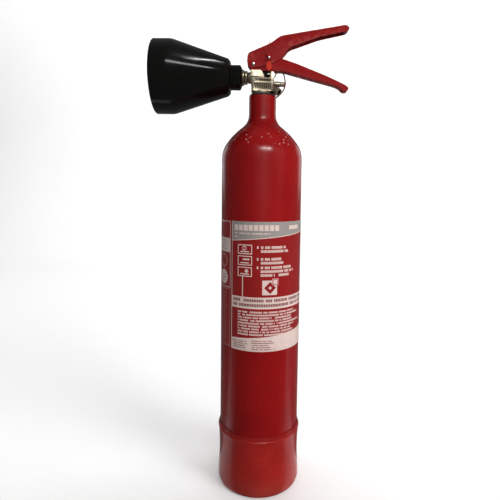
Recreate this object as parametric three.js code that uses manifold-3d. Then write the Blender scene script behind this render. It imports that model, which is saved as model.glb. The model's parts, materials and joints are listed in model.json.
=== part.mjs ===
// Portable carbon-dioxide fire extinguisher, 2 kg size. Millimetres, +Z up.
// Origin: centre of the base's bottom face. The horn points along -X and the levers along +X.
import * as THREE from "three";
import { mergeVertices } from "three/addons/utils/BufferGeometryUtils.js";
import Module from "manifold-3d";

const wasm = await Module();
wasm.setup();

// ---- driving dimensions ----
const GAP = 0.3; // between pieces that touch
const CYL_R = 51; // cylinder, outside
const CYL_R_IN_BOOT = 49.9;
const WALL = 3.6;
const CYL_SEGMENTS = 40;
const CYL_BOTTOM = 3.4;
const NECK_R = 17.2;
const NECK_TOP = 498.6;
const NECK_BORE_R = 12.3;
const BOOT_CREST_R = 53.5;
const BOOT_WAIST_R = 51.8;
const BOOT_FOOT_R = 53;
const BOOT_TOP = 78;
const LABEL_Z0 = 186.4;
const LABEL_Z1 = 343.8;
const LABEL_R0 = 51.2;
const LABEL_R1 = 51.4;
const SPIGOT_R = 12;
const FLANGE_R = 14.8;
const FLANGE_Z0 = 500.6;
const FLANGE_Z1 = 503.8;
const BLOCK = { x0: -14.3, x1: 12.8, y: 12, z1: 519.6 };
const CHAMBER_R = 6.5; // inlet chamber in the valve's spigot
const SPIGOT_Z = 462.8;
const SEAT_Z = 502.3;
const EAR_TOP = 529.1;
const OUTLET_Z = 522; // axis of the outlet and the horn
const OUTLET_R = 7.1;
const HANDLE_HALF = 6.7; // carrying handle, half its width
const LEVER_HALF = 9; // operating lever, half its width
const SHEET = 1.8; // sheet steel of both levers
const PIVOT = { x: -11.9, z: 536.8 };
const PIVOT_R = 1.8;
const SQUEEZE_DEG = 14; // the operating lever's travel
const PIN = { x: 7.2, z: 543.4 };
const PIN_R = 1.95;
const STEM_R = 2.2;
const STEM_TOP = 538.9;
const PUSHER_R = 2.8;
const EYE_Y = 14; // centre of the hole in the pin's eye
const RING_R = 10;
const RING_WIRE_R = 0.9;
const BURST = { from: [9.8, -4.8, 508.8], along: [0.72, -0.5, -0.48] };
const SIDE_PORT = { y: -3, z: 513.6 };
const SCREW_X = 11.4;

// ---- colours ----
const RED = 0x9c1418;
const LEVER_RED = 0xa31d20;
const BRASS = 0xb9aa84;
const STEEL = 0xb8b8ba;
const BLACK = 0x0d0d0e;
const RUBBER = 0x1b1b1c;

const group = new THREE.Group();
group.name = "fire_extinguisher";

// ---- solids ----
function weld(geometry) {
  const bare = geometry.clone();
  bare.deleteAttribute("normal");
  bare.deleteAttribute("uv");
  const merged = mergeVertices(bare, 1e-4);
  const index = merged.index.array;
  const kept = [];
  for (let i = 0; i < index.length; i += 3) {
    const [a, b, c] = [index[i], index[i + 1], index[i + 2]];
    if (a !== b && b !== c && c !== a) kept.push(a, b, c);
  }
  return { points: Float32Array.from(merged.attributes.position.array), kept };
}

function signedVolume(points, triangles) {
  const corner = (i) => new THREE.Vector3().fromArray(points, 3 * i);
  let sum = 0;
  for (let i = 0; i < triangles.length; i += 3) {
    const [a, b, c] = [0, 1, 2].map((k) => corner(triangles[i + k]));
    sum += a.dot(b.cross(c));
  }
  return sum;
}

function solid(geometry) {
  const { points, kept } = weld(geometry);
  if (signedVolume(points, kept) < 0) {
    for (let i = 0; i < kept.length; i += 3) [kept[i], kept[i + 1]] = [kept[i + 1], kept[i]];
  }
  const mesh = new wasm.Mesh({ numProp: 3, vertProperties: points, triVerts: Uint32Array.from(kept) });
  return new wasm.Manifold(mesh);
}

function add(name, body, color, roughness, metalness) {
  const mesh = body.getMesh();
  const geometry = new THREE.BufferGeometry();
  geometry.setAttribute("position", new THREE.BufferAttribute(Float32Array.from(mesh.vertProperties), 3));
  geometry.setIndex(Array.from(mesh.triVerts));
  geometry.computeVertexNormals();
  const piece = new THREE.Mesh(geometry, new THREE.MeshStandardMaterial({ color, roughness, metalness }));
  piece.name = name;
  group.add(piece);
}

// Turns a closed profile of [radius, height] about the Z axis.
function turned(profile, segments) {
  const points = profile.map(([r, h]) => new THREE.Vector2(r, h));
  return solid(new THREE.LatheGeometry(points, segments).rotateX(Math.PI / 2));
}

// Turns a profile of [radius, x] about the X axis, then lifts it to height z.
function turnedX(profile, segments, y, z) {
  const points = profile.map(([r, x]) => new THREE.Vector2(r, x));
  const geometry = new THREE.LatheGeometry(points, segments).rotateZ(-Math.PI / 2);
  return solid(geometry.rotateX(Math.PI / segments).translate(0, y, z));
}

// A profile round a centre line: radius r0 to r1, from h0 to h1; r0 = 0 gives a rod.
function sleeve(r0, r1, h0, h1) {
  const outer = [[r1, h0], [r1, h1]];
  return r0 === 0 ? [[0, h0], ...outer, [0, h1]] : [[r0, h0], ...outer, [r0, h1], [r0, h0]];
}

function rod(from, to, radius, segments) {
  const a = new THREE.Vector3(...from);
  const b = new THREE.Vector3(...to);
  const direction = b.clone().sub(a);
  const geometry = new THREE.CylinderGeometry(radius, radius, direction.length(), segments);
  geometry.applyQuaternion(new THREE.Quaternion().setFromUnitVectors(
    new THREE.Vector3(0, 1, 0),
    direction.clone().normalize(),
  ));
  const middle = a.add(b).multiplyScalar(0.5);
  return solid(geometry.translate(middle.x, middle.y, middle.z));
}

function box(x0, x1, y0, y1, z0, z1) {
  const geometry = new THREE.BoxGeometry(x1 - x0, y1 - y0, z1 - z0);
  return solid(geometry.translate((x0 + x1) / 2, (y0 + y1) / 2, (z0 + z1) / 2));
}

// A box with its four upright edges rounded.
function roundedBox(x0, x1, y0, y1, z0, z1, radius) {
  const shape = outline([[x0, y0, radius], [x1, y0, radius], [x1, y1, radius], [x0, y1, radius]]);
  const geometry = new THREE.ExtrudeGeometry(shape, { depth: z1 - z0, bevelEnabled: false, curveSegments: 3 });
  return solid(geometry.translate(0, 0, z0));
}

// A shape with rounded corners; each corner is [x, z, radius].
function outline(corners) {
  const shape = new THREE.Shape();
  const at = (i) => new THREE.Vector2(...corners[(i + corners.length) % corners.length].slice(0, 2));
  corners.forEach(([, , radius], i) => {
    const corner = at(i);
    const before = at(i - 1).sub(corner);
    const after = at(i + 1).sub(corner);
    const reach = Math.min(radius, before.length() / 2.1, after.length() / 2.1);
    const start = corner.clone().add(before.setLength(reach));
    const end = corner.clone().add(after.setLength(reach));
    if (i === 0) shape.moveTo(start.x, start.y);
    else shape.lineTo(start.x, start.y);
    if (reach > 0) shape.quadraticCurveTo(corner.x, corner.y, end.x, end.y);
  });
  shape.closePath();
  return shape;
}

// An X-Z outline made into a plate that reaches from y0 to y1.
function plate(corners, y0, y1, curveSegments = 4) {
  const settings = { depth: y1 - y0, bevelEnabled: false, curveSegments };
  const geometry = new THREE.ExtrudeGeometry(outline(corners), settings);
  return solid(geometry.rotateX(Math.PI / 2).translate(0, y1, 0));
}

const union = (bodies) => bodies.reduce((sum, body) => sum.add(body));
const cut = (body, tools) => tools.reduce((rest, tool) => rest.subtract(tool), body);

function spline(points, count) {
  const curve = new THREE.SplineCurve(points.map(([r, h]) => new THREE.Vector2(r, h)));
  return curve.getPoints(count).map((p) => [p.x, p.y]);
}

// ---- cylinder ----
const SHOULDER = [
  [CYL_R, 410.6], [51, 419.7], [50.2, 427.1], [47.7, 434.8], [42.7, 442.3],
  [36.5, 449.8], [28.4, 457.3], [22.5, 462.3], [19.6, 466.2], [17.8, 471], [NECK_R, 477.2],
];
const shoulder = spline(SHOULDER, 11);
const inside = shoulder
  .filter(([r]) => r - WALL > NECK_BORE_R)
  .map(([r, h]) => [r - WALL, h - 2.2])
  .filter((point, i) => i % 2 === 0)
  .reverse();
const cylinderProfile = [
  [0, CYL_BOTTOM], [24, 6.5], [40, 16], [47.5, 28], [CYL_R_IN_BOOT, 42], [CYL_R_IN_BOOT, BOOT_TOP - 6],
  [CYL_R, BOOT_TOP + 0.4], ...shoulder,
  [NECK_R, NECK_TOP - 0.8], [NECK_R - 0.8, NECK_TOP], [NECK_BORE_R, NECK_TOP],
  [NECK_BORE_R, 468.9], ...inside,
  [CYL_R - WALL, 100], [CYL_R_IN_BOOT - WALL, 42], [44, 30], [38, 20], [23, 10.6], [0, CYL_BOTTOM + 4.2],
];
add("cylinder", turned(cylinderProfile, CYL_SEGMENTS), RED, 0.32, 0.1);

// ---- foot ----
const bootProfile = [
  [0, 0], [48.6, 0], [51.8, 1.2], [BOOT_FOOT_R, 4.6], [BOOT_FOOT_R, 11], [BOOT_WAIST_R, 34],
  [BOOT_WAIST_R, 53], [52.5, 62], [BOOT_CREST_R, 70], [53.2, 73.5], [51.9, BOOT_TOP], [51.5, BOOT_TOP],
  [50.3, BOOT_TOP - 6.6], [50.3, 41.6], [48, 27], [40.6, 14.6], [24.6, 5.4], [19, 3], [0, 3],
];
const drains = [30, 150, 270].map((degrees) => {
  const turn = THREE.MathUtils.degToRad(degrees);
  const [x, y] = [30 * Math.cos(turn), 30 * Math.sin(turn)];
  return rod([x, y, -1], [x, y, 12], 3, 12);
});
add("base_boot", cut(turned(bootProfile, CYL_SEGMENTS), drains), RED, 0.4, 0);

// ---- labels ----
// Angles run from the front (-Y), positive towards +X; the facets line up with the cylinder's.
function label(name, from, to, color) {
  const step = 360 / CYL_SEGMENTS;
  const angles = [from];
  for (let a = Math.ceil(from / step) * step; a < to; a += step) if (a > from) angles.push(a);
  angles.push(to);
  const facet = (a) => {
    const off = THREE.MathUtils.degToRad(a - step * (Math.floor(a / step) + 0.5));
    return Math.cos(THREE.MathUtils.degToRad(step / 2)) / Math.cos(off);
  };
  const at = (r, a) => {
    const turn = THREE.MathUtils.degToRad(a);
    return new THREE.Vector2(r * facet(a) * Math.sin(turn), -r * facet(a) * Math.cos(turn));
  };
  const edge = angles.map((a) => at(LABEL_R1, a)).concat(angles.map((a) => at(LABEL_R0, a)).reverse());
  const depth = LABEL_Z1 - LABEL_Z0;
  const geometry = new THREE.ExtrudeGeometry(new THREE.Shape(edge), { depth, bevelEnabled: false });
  add(name, solid(geometry.translate(0, 0, LABEL_Z0)), color, 0.45, 0);
}
label("label_main", -43, 110, 0xb99a98);
label("label_side", -79, -44.2, 0x8c2a2a);

// ---- valve body ----
const alongBurst = new THREE.Vector3(...BURST.along).normalize();
const onBurst = (t) => new THREE.Vector3(...BURST.from).addScaledVector(alongBurst, t).toArray();
const outletProfile = [
  [0, -8.7], [OUTLET_R, -8.7], [OUTLET_R, -18.2], [OUTLET_R - 0.7, -18.9], [0, -18.9],
];
const bulgeProfile = [[0, -4.2], [1.9, -4.8], [3.2, -6.4], [3.7, -8.7], [3.7, -15.2], [0, -15.2]];
const nearEar = [
  [-15.2, 514.4, 0], [-15.2, EAR_TOP, 1], [-2.4, EAR_TOP, 1], [1.4, 522.7, 1], [1.4, 514.4, 0],
];
const farEar = [[-15.2, 514.4, 0], [-15.2, EAR_TOP, 1], [14, EAR_TOP, 1], [14, 514.4, 0]];
const valveSolids = [
  turned(sleeve(0, SPIGOT_R, SPIGOT_Z, FLANGE_Z0 + 0.5), 24),
  turned(sleeve(0, FLANGE_R, FLANGE_Z0, FLANGE_Z1), 32),
  roundedBox(BLOCK.x0, BLOCK.x1, -BLOCK.y, BLOCK.y, FLANGE_Z1 - 0.5, BLOCK.z1, 1.5),
  turnedX(outletProfile, 24, 0, OUTLET_Z),
  turnedX(bulgeProfile, 16, -8.9, OUTLET_Z),
  plate(nearEar, -12, -8.2),
  plate(farEar, 8.2, 12),
  box(9, 14, -5.6, 9, 515.5, EAR_TOP),
  box(-15.2, -8.7, -9, 9, 515.5, EAR_TOP),
  rod([9, SIDE_PORT.y, SIDE_PORT.z], [21.7, SIDE_PORT.y, SIDE_PORT.z], 3.6, 16),
  rod(onBurst(0), onBurst(9), 4.6, 16),
];
const valveCuts = [
  turned(sleeve(0, CHAMBER_R, SPIGOT_Z - 1, SEAT_Z), 24),
  turned(sleeve(0, 3.4, SEAT_Z - 1, 516), 20),
  turned(sleeve(0, 4.8, 512, BLOCK.z1 + 1), 20),
  rod([-9.3, 0, OUTLET_Z], [-21.5, 0, OUTLET_Z], 4.8, 20),
  rod([-10.7, 0, OUTLET_Z], [0, 0, 508.7], 2, 12),
  rod([2, SIDE_PORT.y, SIDE_PORT.z], [24, SIDE_PORT.y, SIDE_PORT.z], 1.6, 12),
  rod(onBurst(2.5), onBurst(10), 2.6, 12),
  rod(onBurst(3), [0, 0, 496], 1.5, 10),
  rod([SCREW_X, 0, 518], [SCREW_X, 0, EAR_TOP + 1], 2.1, 16),
  box(-16.3, 16, -14, 14, EAR_TOP, EAR_TOP + 4),
];
for (const side of [-1, 1]) {
  const face = side * BLOCK.y;
  const [y0, y1] = [Math.min(face, face - side), Math.max(face, face - side)];
  const panels = [
    [[-11, 505, 0.8], [-11, 513, 0.8], [9.6, 513, 0.8], [9.6, 505, 0.8]],
    [[-9.2, 514.7, 0.6], [-9.2, 518.5, 0.6], [9.8, 518.5, 0.6], [9.8, 514.7, 0.6]],
  ];
  valveCuts.push(...panels.map((corners) => plate(corners, y0 - 0.1, y1 + 0.1, 2)));
}
add("valve_body", cut(union(valveSolids), valveCuts), BRASS, 0.35, 0.9);

// ---- pieces that seal and feed the valve ----
add("neck_seal_ring", turned(sleeve(SPIGOT_R + GAP, 16.6, NECK_TOP + GAP, FLANGE_Z0 - GAP), 24), RUBBER, 0.7, 0);
add("inlet_adapter", turned(sleeve(4.6, CHAMBER_R - GAP, SPIGOT_Z, 475.1), 20), BRASS, 0.4, 0.9);
add("dip_tube", turned(sleeve(3.1, 4.3, 14, 474.1), 16), 0xc9c6bd, 0.5, 0.2);
add("valve_seat", turned(sleeve(3, CHAMBER_R - GAP, SEAT_Z - 2.8, SEAT_Z - GAP), 20), 0xd8d4c8, 0.5, 0);
const poppetProfile = [
  [0, 489.8], [3.1, 489.8], [3.1, 492.7], [5.2, 492.7], [5.2, 497.3], [4.4, 499.1], [0, 499.1],
];
add("poppet", turned(poppetProfile, 20), BRASS, 0.35, 0.9);
const stemProfile = [
  [0, 499.4], [1.6, 499.4], [1.6, 510.3], [STEM_R, 511.3], [STEM_R, STEM_TOP - 0.6],
  [STEM_R - 0.6, STEM_TOP], [0, STEM_TOP],
];
add("stem", turned(stemProfile, 20), STEEL, 0.25, 1);
add("stem_o_ring", turned(sleeve(STEM_R + 0.1, 4.5, 512.2, 514), 20), RUBBER, 0.7, 0);

// The return spring stands between the inlet adapter and the poppet.
class Coil extends THREE.Curve {
  getPoint(t, target = new THREE.Vector3()) {
    const turn = 2 * Math.PI * 5 * t;
    return target.set(4.4 * Math.cos(turn), 4.4 * Math.sin(turn), 476.1 + 15.6 * t);
  }
}
function tube(curve, radius, sides, steps) {
  const ring = new THREE.Shape();
  for (let i = 0; i < sides; i += 1) {
    const turn = (2 * Math.PI * i) / sides;
    const [x, y] = [radius * Math.cos(turn), radius * Math.sin(turn)];
    if (i === 0) ring.moveTo(x, y);
    else ring.lineTo(x, y);
  }
  ring.closePath();
  return solid(new THREE.ExtrudeGeometry(ring, { steps, extrudePath: curve, bevelEnabled: false }));
}
add("return_spring", tube(new Coil(), 0.6, 6, 50), STEEL, 0.3, 1);

const glandSolids = [
  turned([[0, 514.3], [4.5, 514.3], [4.5, 520.6], [3.9, 520.6], [3.9, 532.3], [0, 532.3]], 20),
  turned(sleeve(0, 6.6, BLOCK.z1 + GAP, 528.1), 6),
];
const glandBore = turned(sleeve(0, STEM_R + 0.1, 510, 540), 20);
add("gland_nut", cut(union(glandSolids), [glandBore]), 0x6f6a60, 0.4, 0.9);

// ---- ports ----
const plugProfile = [[0, 27.6], [2.2, 27.6], [3, 26.8], [3, 22], [1.3, 22], [1.3, 15], [0, 15]];
add("side_port_plug", turnedX(plugProfile, 16, SIDE_PORT.y, SIDE_PORT.z), BRASS, 0.35, 0.9);
const burstPlug = cut(rod(onBurst(9.3), onBurst(14.5), 4.8, 20), [
  rod(onBurst(10.8), onBurst(16), 3.3, 6),
  rod(onBurst(9), onBurst(11), 1.2, 10),
]);
const burstShank = cut(rod(onBurst(5.4), onBurst(9.5), 2.3, 16), [rod(onBurst(5), onBurst(10), 1.2, 10)]);
add("burst_disc_plug", union([burstPlug, burstShank]), BRASS, 0.35, 0.9);
add("burst_disc", rod(onBurst(4.6), onBurst(5.1), 2.3, 16), STEEL, 0.3, 1);
const washer = cut(rod(onBurst(3.8), onBurst(4.3), 2.3, 16), [rod(onBurst(3), onBurst(5), 1.3, 10)]);
add("burst_disc_washer", washer, 0xb5713c, 0.4, 0.9);

// ---- outlet and horn ----
const nippleProfile = [[2.6, -11], [4.5, -11], [4.5, -37.4], [2.6, -37.4], [2.6, -11]];
add("outlet_nipple", turnedX(nippleProfile, 24, 0, OUTLET_Z), BRASS, 0.35, 0.9);
const lockProfile = [
  [4.8, -19.2], [7.9, -19.2], [8.6, -19.8], [8.6, -22.3], [7.9, -22.8], [4.8, -22.8], [4.8, -19.2],
];
add("outlet_lock_ring", turnedX(lockProfile, 24, 0, OUTLET_Z), BRASS, 0.35, 0.9);
const socketProfile = [
  [4.6, -23.1], [9.2, -23.1], [10, -23.7], [10, -25.9], [7, -25.9], [7, -37.9], [4.6, -37.9],
  [4.6, -32.3], [5.8, -32.3], [5.8, -30], [4.6, -30], [4.6, -23.1],
];
add("horn_socket", turnedX(socketProfile, 24, 0, OUTLET_Z), BRASS, 0.35, 0.9);
add("outlet_o_ring", turnedX(sleeve(4.6, 5.5, -31.9, -30.4), 24, 0, OUTLET_Z), RUBBER, 0.7, 0);
const collarProfile = [
  [7.3, -26.2], [11.8, -26.2], [15.4, -28.5], [15.4, -40.3], [7.3, -40.3], [7.3, -26.2],
];
add("horn_collar", turnedX(collarProfile, 32, 0, OUTLET_Z), BLACK, 0.3, 0);
const nozzleProfile = [
  [1.3, -38.4], [4.4, -38.4], [4.4, -43.9], [6.6, -43.9], [6.6, -46.8], [3.6, -49.5], [1.3, -49.5],
  [1.3, -38.4],
];
add("discharge_nozzle", turnedX(nozzleProfile, 20, 0, OUTLET_Z), BRASS, 0.35, 0.9);
const hornProfile = [
  [4.8, -40.6], [19.7, -40.6], [22.9, -43.4], [45.1, -111], [45.6, -114.6], [45.6, -134.2], [44.7, -135],
  [43.3, -134.4], [43.1, -115], [42.5, -111.5], [20.6, -45.4], [18.8, -43.5], [4.8, -43.5], [4.8, -40.6],
];
add("horn", turnedX(hornProfile, 36, 0, OUTLET_Z), BLACK, 0.22, 0);

// ---- carrying handle ----
const handleOutline = [
  [-16, 529.4, 2], [-16, 542.5, 3], [-8.5, 547.4, 3], [10.9, 547.6, 3], [16.6, 544, 3], [25.3, 544, 4],
  [43.7, 537.9, 6], [80.5, 523.6, 6], [96.9, 516.2, 3], [102.6, 513.6, 3], [107.6, 509.8, 3], [106.2, 505.6, 2.5],
  [100.6, 505.2, 3], [96, 510.2, 4], [88.6, 513, 4], [60, 520.2, 6], [36, 526.6, 6], [25.3, 529.4, 5],
];
const handleHollow = [
  [-21.7, 531.2, 0], [-21.8, 558.1, 0], [99.2, 559.4, 0], [97.9, 513.8, 0], [89.7, 515.2, 2], [60.5, 522.2, 3],
  [36.4, 528.6, 4], [25.9, 531.2, 3],
];
const handleCuts = [
  plate(handleHollow, -(HANDLE_HALF - SHEET), HANDLE_HALF - SHEET),
  rod([PIVOT.x, -20, PIVOT.z], [PIVOT.x, 20, PIVOT.z], PIVOT_R + GAP, 20),
  rod([PIN.x, -20, PIN.z], [PIN.x, 20, PIN.z], PIN_R + 0.15, 20),
  turned(sleeve(0, 4.2, 516, 540), 20),
  rod([SCREW_X, 0, 522], [SCREW_X, 0, 534], 2.1, 16),
];
const handle = cut(plate(handleOutline, -HANDLE_HALF, HANDLE_HALF), handleCuts);
add("carry_handle", handle, LEVER_RED, 0.35, 0.1);

const screwProfile = [
  [0, 518.7], [1.8, 518.7], [1.8, 531.8], [2.9, 531.8], [2.9, 533.2], [2, 534], [0, 534],
];
add("handle_screw", turned(screwProfile, 16).translate(SCREW_X, 0, 0), STEEL, 0.3, 1);

const rivetHead = (y0, y1) => [
  rod([PIVOT.x, y0, PIVOT.z], [PIVOT.x, y1, PIVOT.z], 2.4, 20),
];
const rivet = union([
  rod([PIVOT.x, -9.6, PIVOT.z], [PIVOT.x, 10.6, PIVOT.z], PIVOT_R, 20),
  ...rivetHead(-10.6, -9.3),
  ...rivetHead(10.3, 11.5),
]);
add("pivot_rivet", rivet, STEEL, 0.25, 1);
const rivetWasher = cut(rod([PIVOT.x, 9.25, PIVOT.z], [PIVOT.x, 10, PIVOT.z], 4, 20), [
  rod([PIVOT.x, 8, PIVOT.z], [PIVOT.x, 12, PIVOT.z], PIVOT_R + 0.15, 20),
]);
add("rivet_washer", rivetWasher, STEEL, 0.3, 1);

// ---- operating lever ----
const leverOutline = [
  [-15.4, 531.7, 3.5], [-20.1, 538.5, 3], [-19.2, 550, 4], [10.1, 562.8, 4], [20.9, 571.2, 5], [91.1, 583.9, 4],
  [102.8, 586.2, 4], [107.2, 581.4, 3], [103.3, 578.3, 2], [69.5, 570.9, 4], [32.9, 557.9, 3],
  [19.8, 542, 4], [3.5, 535.4, 12],
];
const leverHollow = [
  [-31.7, 495.6, 0], [-31.9, 542.3, 0], [10.8, 560.7, 2], [21.4, 569.2, 3], [91.1, 581.9, 0],
  [100.7, 583.8, 2], [99.8, 496.8, 0],
];
// The lever's plates pass the pin along a short slot: the pin's place seen from the turned lever.
function pinSlot() {
  const turn = THREE.MathUtils.degToRad(SQUEEZE_DEG + 1);
  const start = new THREE.Vector2(PIN.x, PIN.z);
  const end = start.clone().rotateAround(new THREE.Vector2(PIVOT.x, PIVOT.z), turn);
  const along = end.clone().sub(start).angle();
  const shape = new THREE.Shape();
  shape.absarc(start.x, start.y, PIN_R + 0.25, along + Math.PI / 2, along + 1.5 * Math.PI, false);
  shape.absarc(end.x, end.y, PIN_R + 0.25, along - Math.PI / 2, along + Math.PI / 2, false);
  const geometry = new THREE.ExtrudeGeometry(shape, { depth: 40, bevelEnabled: false, curveSegments: 10 });
  return solid(geometry.rotateX(Math.PI / 2).translate(0, 20, 0));
}
const leverCuts = [
  plate(leverHollow, -(LEVER_HALF - SHEET), LEVER_HALF - SHEET),
  rod([PIVOT.x, -20, PIVOT.z], [PIVOT.x, 20, PIVOT.z], PIVOT_R + 0.1, 20),
  pinSlot(),
];
// The grip narrows a little towards its tip.
const narrowing = (vertex) => {
  const along = THREE.MathUtils.clamp((vertex[0] - 20) / 80, 0, 1);
  vertex[1] *= 1 - 0.2 * along;
};
const leverBlank = cut(plate(leverOutline, -LEVER_HALF, LEVER_HALF), leverCuts);
add("operating_lever", leverBlank.warp(narrowing), LEVER_RED, 0.35, 0.1);
const pusherZ = STEM_TOP + GAP + PUSHER_R;
const pusherOutline = [
  [-PUSHER_R, pusherZ - PUSHER_R, PUSHER_R], [-PUSHER_R, 554.4, 0], [PUSHER_R, 556.7, 0],
  [PUSHER_R, pusherZ - PUSHER_R, PUSHER_R],
];
// It is notched beside the pin, so that it clears the pin as the lever comes down.
const pusher = cut(plate(pusherOutline, -3.5, 3.5), [pinSlot()]);
add("lever_pusher", pusher, LEVER_RED, 0.35, 0.1);

// ---- safety pin and its ring ----
const pinBody = union([
  turned([[0, -9.6], [PIN_R, -9.6], [PIN_R, 13], [PIN_R * 0.75, 14.4], [0, 15]], 20)
    .rotate([90, 0, 0])
    .translate(PIN.x, 0, PIN.z),
  rod([PIN.x, 9.3, PIN.z], [PIN.x, 10.7, PIN.z], 3.4, 20),
  plateX(PIN.x - 1.3, PIN.x + 1.3, [
    [10.2, PIN.z - 3.2, 1], [10.2, PIN.z + 3.2, 1], [17.2, PIN.z + 3.2, 3], [17.2, PIN.z - 3.2, 3],
  ]),
]);
const pinCuts = [
  rod([PIN.x - 4, EYE_Y, PIN.z], [PIN.x + 4, EYE_Y, PIN.z], 1.7, 16),
  rod([PIN.x, -13.2, PIN.z - 4], [PIN.x, -13.2, PIN.z + 4], 0.8, 10),
];
add("safety_pin", cut(pinBody, pinCuts), STEEL, 0.22, 1);

// A Y-Z outline made into a plate that reaches from x0 to x1.
function plateX(x0, x1, corners) {
  const settings = { depth: x1 - x0, bevelEnabled: false, curveSegments: 4 };
  const geometry = new THREE.ExtrudeGeometry(outline(corners), settings);
  return solid(geometry.rotateX(Math.PI / 2).rotateZ(Math.PI / 2).translate(x0, 0, 0));
}
const ringZ = PIN.z - 0.4;
const ringGeometry = new THREE.TorusGeometry(RING_R, RING_WIRE_R, 8, 26).rotateX(Math.PI / 2);
add("pull_ring", solid(ringGeometry.translate(PIN.x, EYE_Y, ringZ - RING_R)), STEEL, 0.22, 1);

// ---- seal ----
// It goes through the pin's tip, and its upper end stands up beside the lever.
const strandPath = new THREE.CatmullRomCurve3([
  [0, -13.2, -2.6], [0, -13.2, 0.8], [-0.4, -12.2, 3.8], [-0.2, -10.4, 7], [0.1, -9.9, 13], [0.4, -9.9, 21],
].map(([x, y, z]) => new THREE.Vector3(PIN.x + x, y, PIN.z + z)));
const strapOutline = [
  [3.9, 546, 1.6], [2.8, 549.4, 1.4], [5.6, 552.4, 1.2], [8.1, 550.9, 1.2], [9.1, 546.8, 1.4], [7.4, 545.9, 1],
];
const strap = plate(strapOutline, -10.2, -9.5, 2);
add("seal_strand", tube(strandPath, 0.45, 8, 14).add(strap), 0xb83a2a, 0.4, 0);
const tagOutline = [
  [7.1, 526.6, 2], [3.6, 530.4, 3], [3.7, 535.4, 2.4], [6.2, 539.2, 1.2], [7.7, 539.3, 1.2], [10.4, 535.6, 2.4],
  [10.6, 530.6, 3],
];
add("seal_tag", plate(tagOutline, -14.6, -12.6), 0xc23b22, 0.35, 0);

// ---- leash ----
const leashPath = new THREE.CatmullRomCurve3([
  [7.6, 16, 538.1], [10.7, 15, 535.5], [16.5, 12.3, 533.4], [22.4, 10, 532.4], [26.2, 8.5, 529.6],
  [27.8, 7.5, 524.4], [28.8, 7, 518], [28.2, 7, 513.2], [26.7, 7, 509.2], [23.3, 7.6, 504.5],
  [18.8, 10, 501], [13.8, 14.4, 499.4], [8.6, 18.4, 500], [4.4, 19.8, 502.8], [2.5, 19.4, 507.2],
].map((p) => new THREE.Vector3(...p)));
add("leash", tube(leashPath, 0.8, 8, 28), 0x8a1a1c, 0.5, 0);
const anchor = union([
  rod([2.5, 11.3, 508.4], [2.5, 14, 508.4], 2.6, 16),
  plateX(1.3, 3.7, [[13.6, 506.4, 1], [13.6, 510.4, 1], [18, 510.2, 1.5], [18, 506.6, 1.5]]),
]);
add("leash_anchor", anchor, STEEL, 0.3, 1);

export default group;
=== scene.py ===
"""Portable carbon-dioxide fire extinguisher, 2 kg size, on a plain pale floor.

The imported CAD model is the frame: metres, +Z up, the horn along -X, the levers along +X.
Profiles, outlines and paths are in millimetres, in that same frame.
"""
import json
import math

import bmesh
import bpy
from mathutils import Matrix, Vector


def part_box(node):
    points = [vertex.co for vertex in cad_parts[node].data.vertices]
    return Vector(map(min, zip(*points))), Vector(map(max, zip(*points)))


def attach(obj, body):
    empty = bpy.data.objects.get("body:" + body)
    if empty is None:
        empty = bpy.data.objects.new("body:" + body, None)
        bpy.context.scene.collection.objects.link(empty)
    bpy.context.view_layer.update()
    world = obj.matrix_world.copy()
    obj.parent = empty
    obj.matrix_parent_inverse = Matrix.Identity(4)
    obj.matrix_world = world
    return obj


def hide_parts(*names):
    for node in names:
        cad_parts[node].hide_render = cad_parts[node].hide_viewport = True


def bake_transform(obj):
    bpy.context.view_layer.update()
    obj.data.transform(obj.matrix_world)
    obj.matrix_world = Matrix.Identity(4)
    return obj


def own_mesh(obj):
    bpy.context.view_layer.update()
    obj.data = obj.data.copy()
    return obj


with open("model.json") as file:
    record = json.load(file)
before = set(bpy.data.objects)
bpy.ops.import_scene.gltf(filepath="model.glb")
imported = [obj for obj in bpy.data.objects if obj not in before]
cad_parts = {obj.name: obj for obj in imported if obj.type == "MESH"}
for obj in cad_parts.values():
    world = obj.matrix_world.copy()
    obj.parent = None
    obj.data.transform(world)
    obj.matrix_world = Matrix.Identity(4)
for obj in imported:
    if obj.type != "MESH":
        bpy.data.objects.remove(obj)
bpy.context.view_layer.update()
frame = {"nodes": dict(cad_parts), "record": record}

MM = 0.001
NODES = frame["nodes"]
BODY_OF = {
    node: body
    for body, members in frame["record"]["behaviour"]["bodies"].items()
    for node in members
}
SLOT_OF = {part["node"]: part["material_slot"] for part in frame["record"]["subparts"]}


def middle(node):
    low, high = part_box(node)
    return (low + high) / 2


# ---- driving dimensions, millimetres ----
CYL_R = 51.0
CYL_FOOT_R = 49.9
WALL = 3.6
NECK_R = 17.2
NECK_BORE_R = 12.3
NECK_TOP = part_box("cylinder")[1].z / MM
BOOT_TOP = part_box("base_boot")[1].z / MM
BOOT_WALL_R = 50.3
BEAD_Z = 73.2
OUTLET_Z = middle("horn").z / MM
HORN_R = 45.6
HORN_MOUTH = -135.0
LABEL_R = 51.4
LABEL_INNER_R = CYL_R + 0.15
LABEL_EDGE, LABEL_EDGE_DROP = 0.3, 0.08
LABEL_Z0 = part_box("label_main")[0].z / MM
LABEL_Z1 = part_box("label_main")[1].z / MM
SEGMENTS = 160


# ---- camera ----
def make_camera():
    data = bpy.data.cameras.new("camera")
    data.sensor_width = 36
    data.lens = 30.96
    data.shift_x, data.shift_y = -0.01736, -0.05604
    camera = bpy.data.objects.new("camera", data)
    right = Vector((0.999905, 0.006464, 0.012143))
    forward = Vector((-0.005498, 0.996943, -0.077941)).normalized()
    up = right.cross(forward).normalized()
    right = forward.cross(up)
    turn = Matrix((right, up, -forward)).transposed().to_4x4()
    camera.matrix_world = Matrix.Translation((0, -0.55587, 0.383114)) @ turn
    bpy.context.scene.collection.objects.link(camera)
    bpy.context.scene.camera = camera


make_camera()


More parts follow.
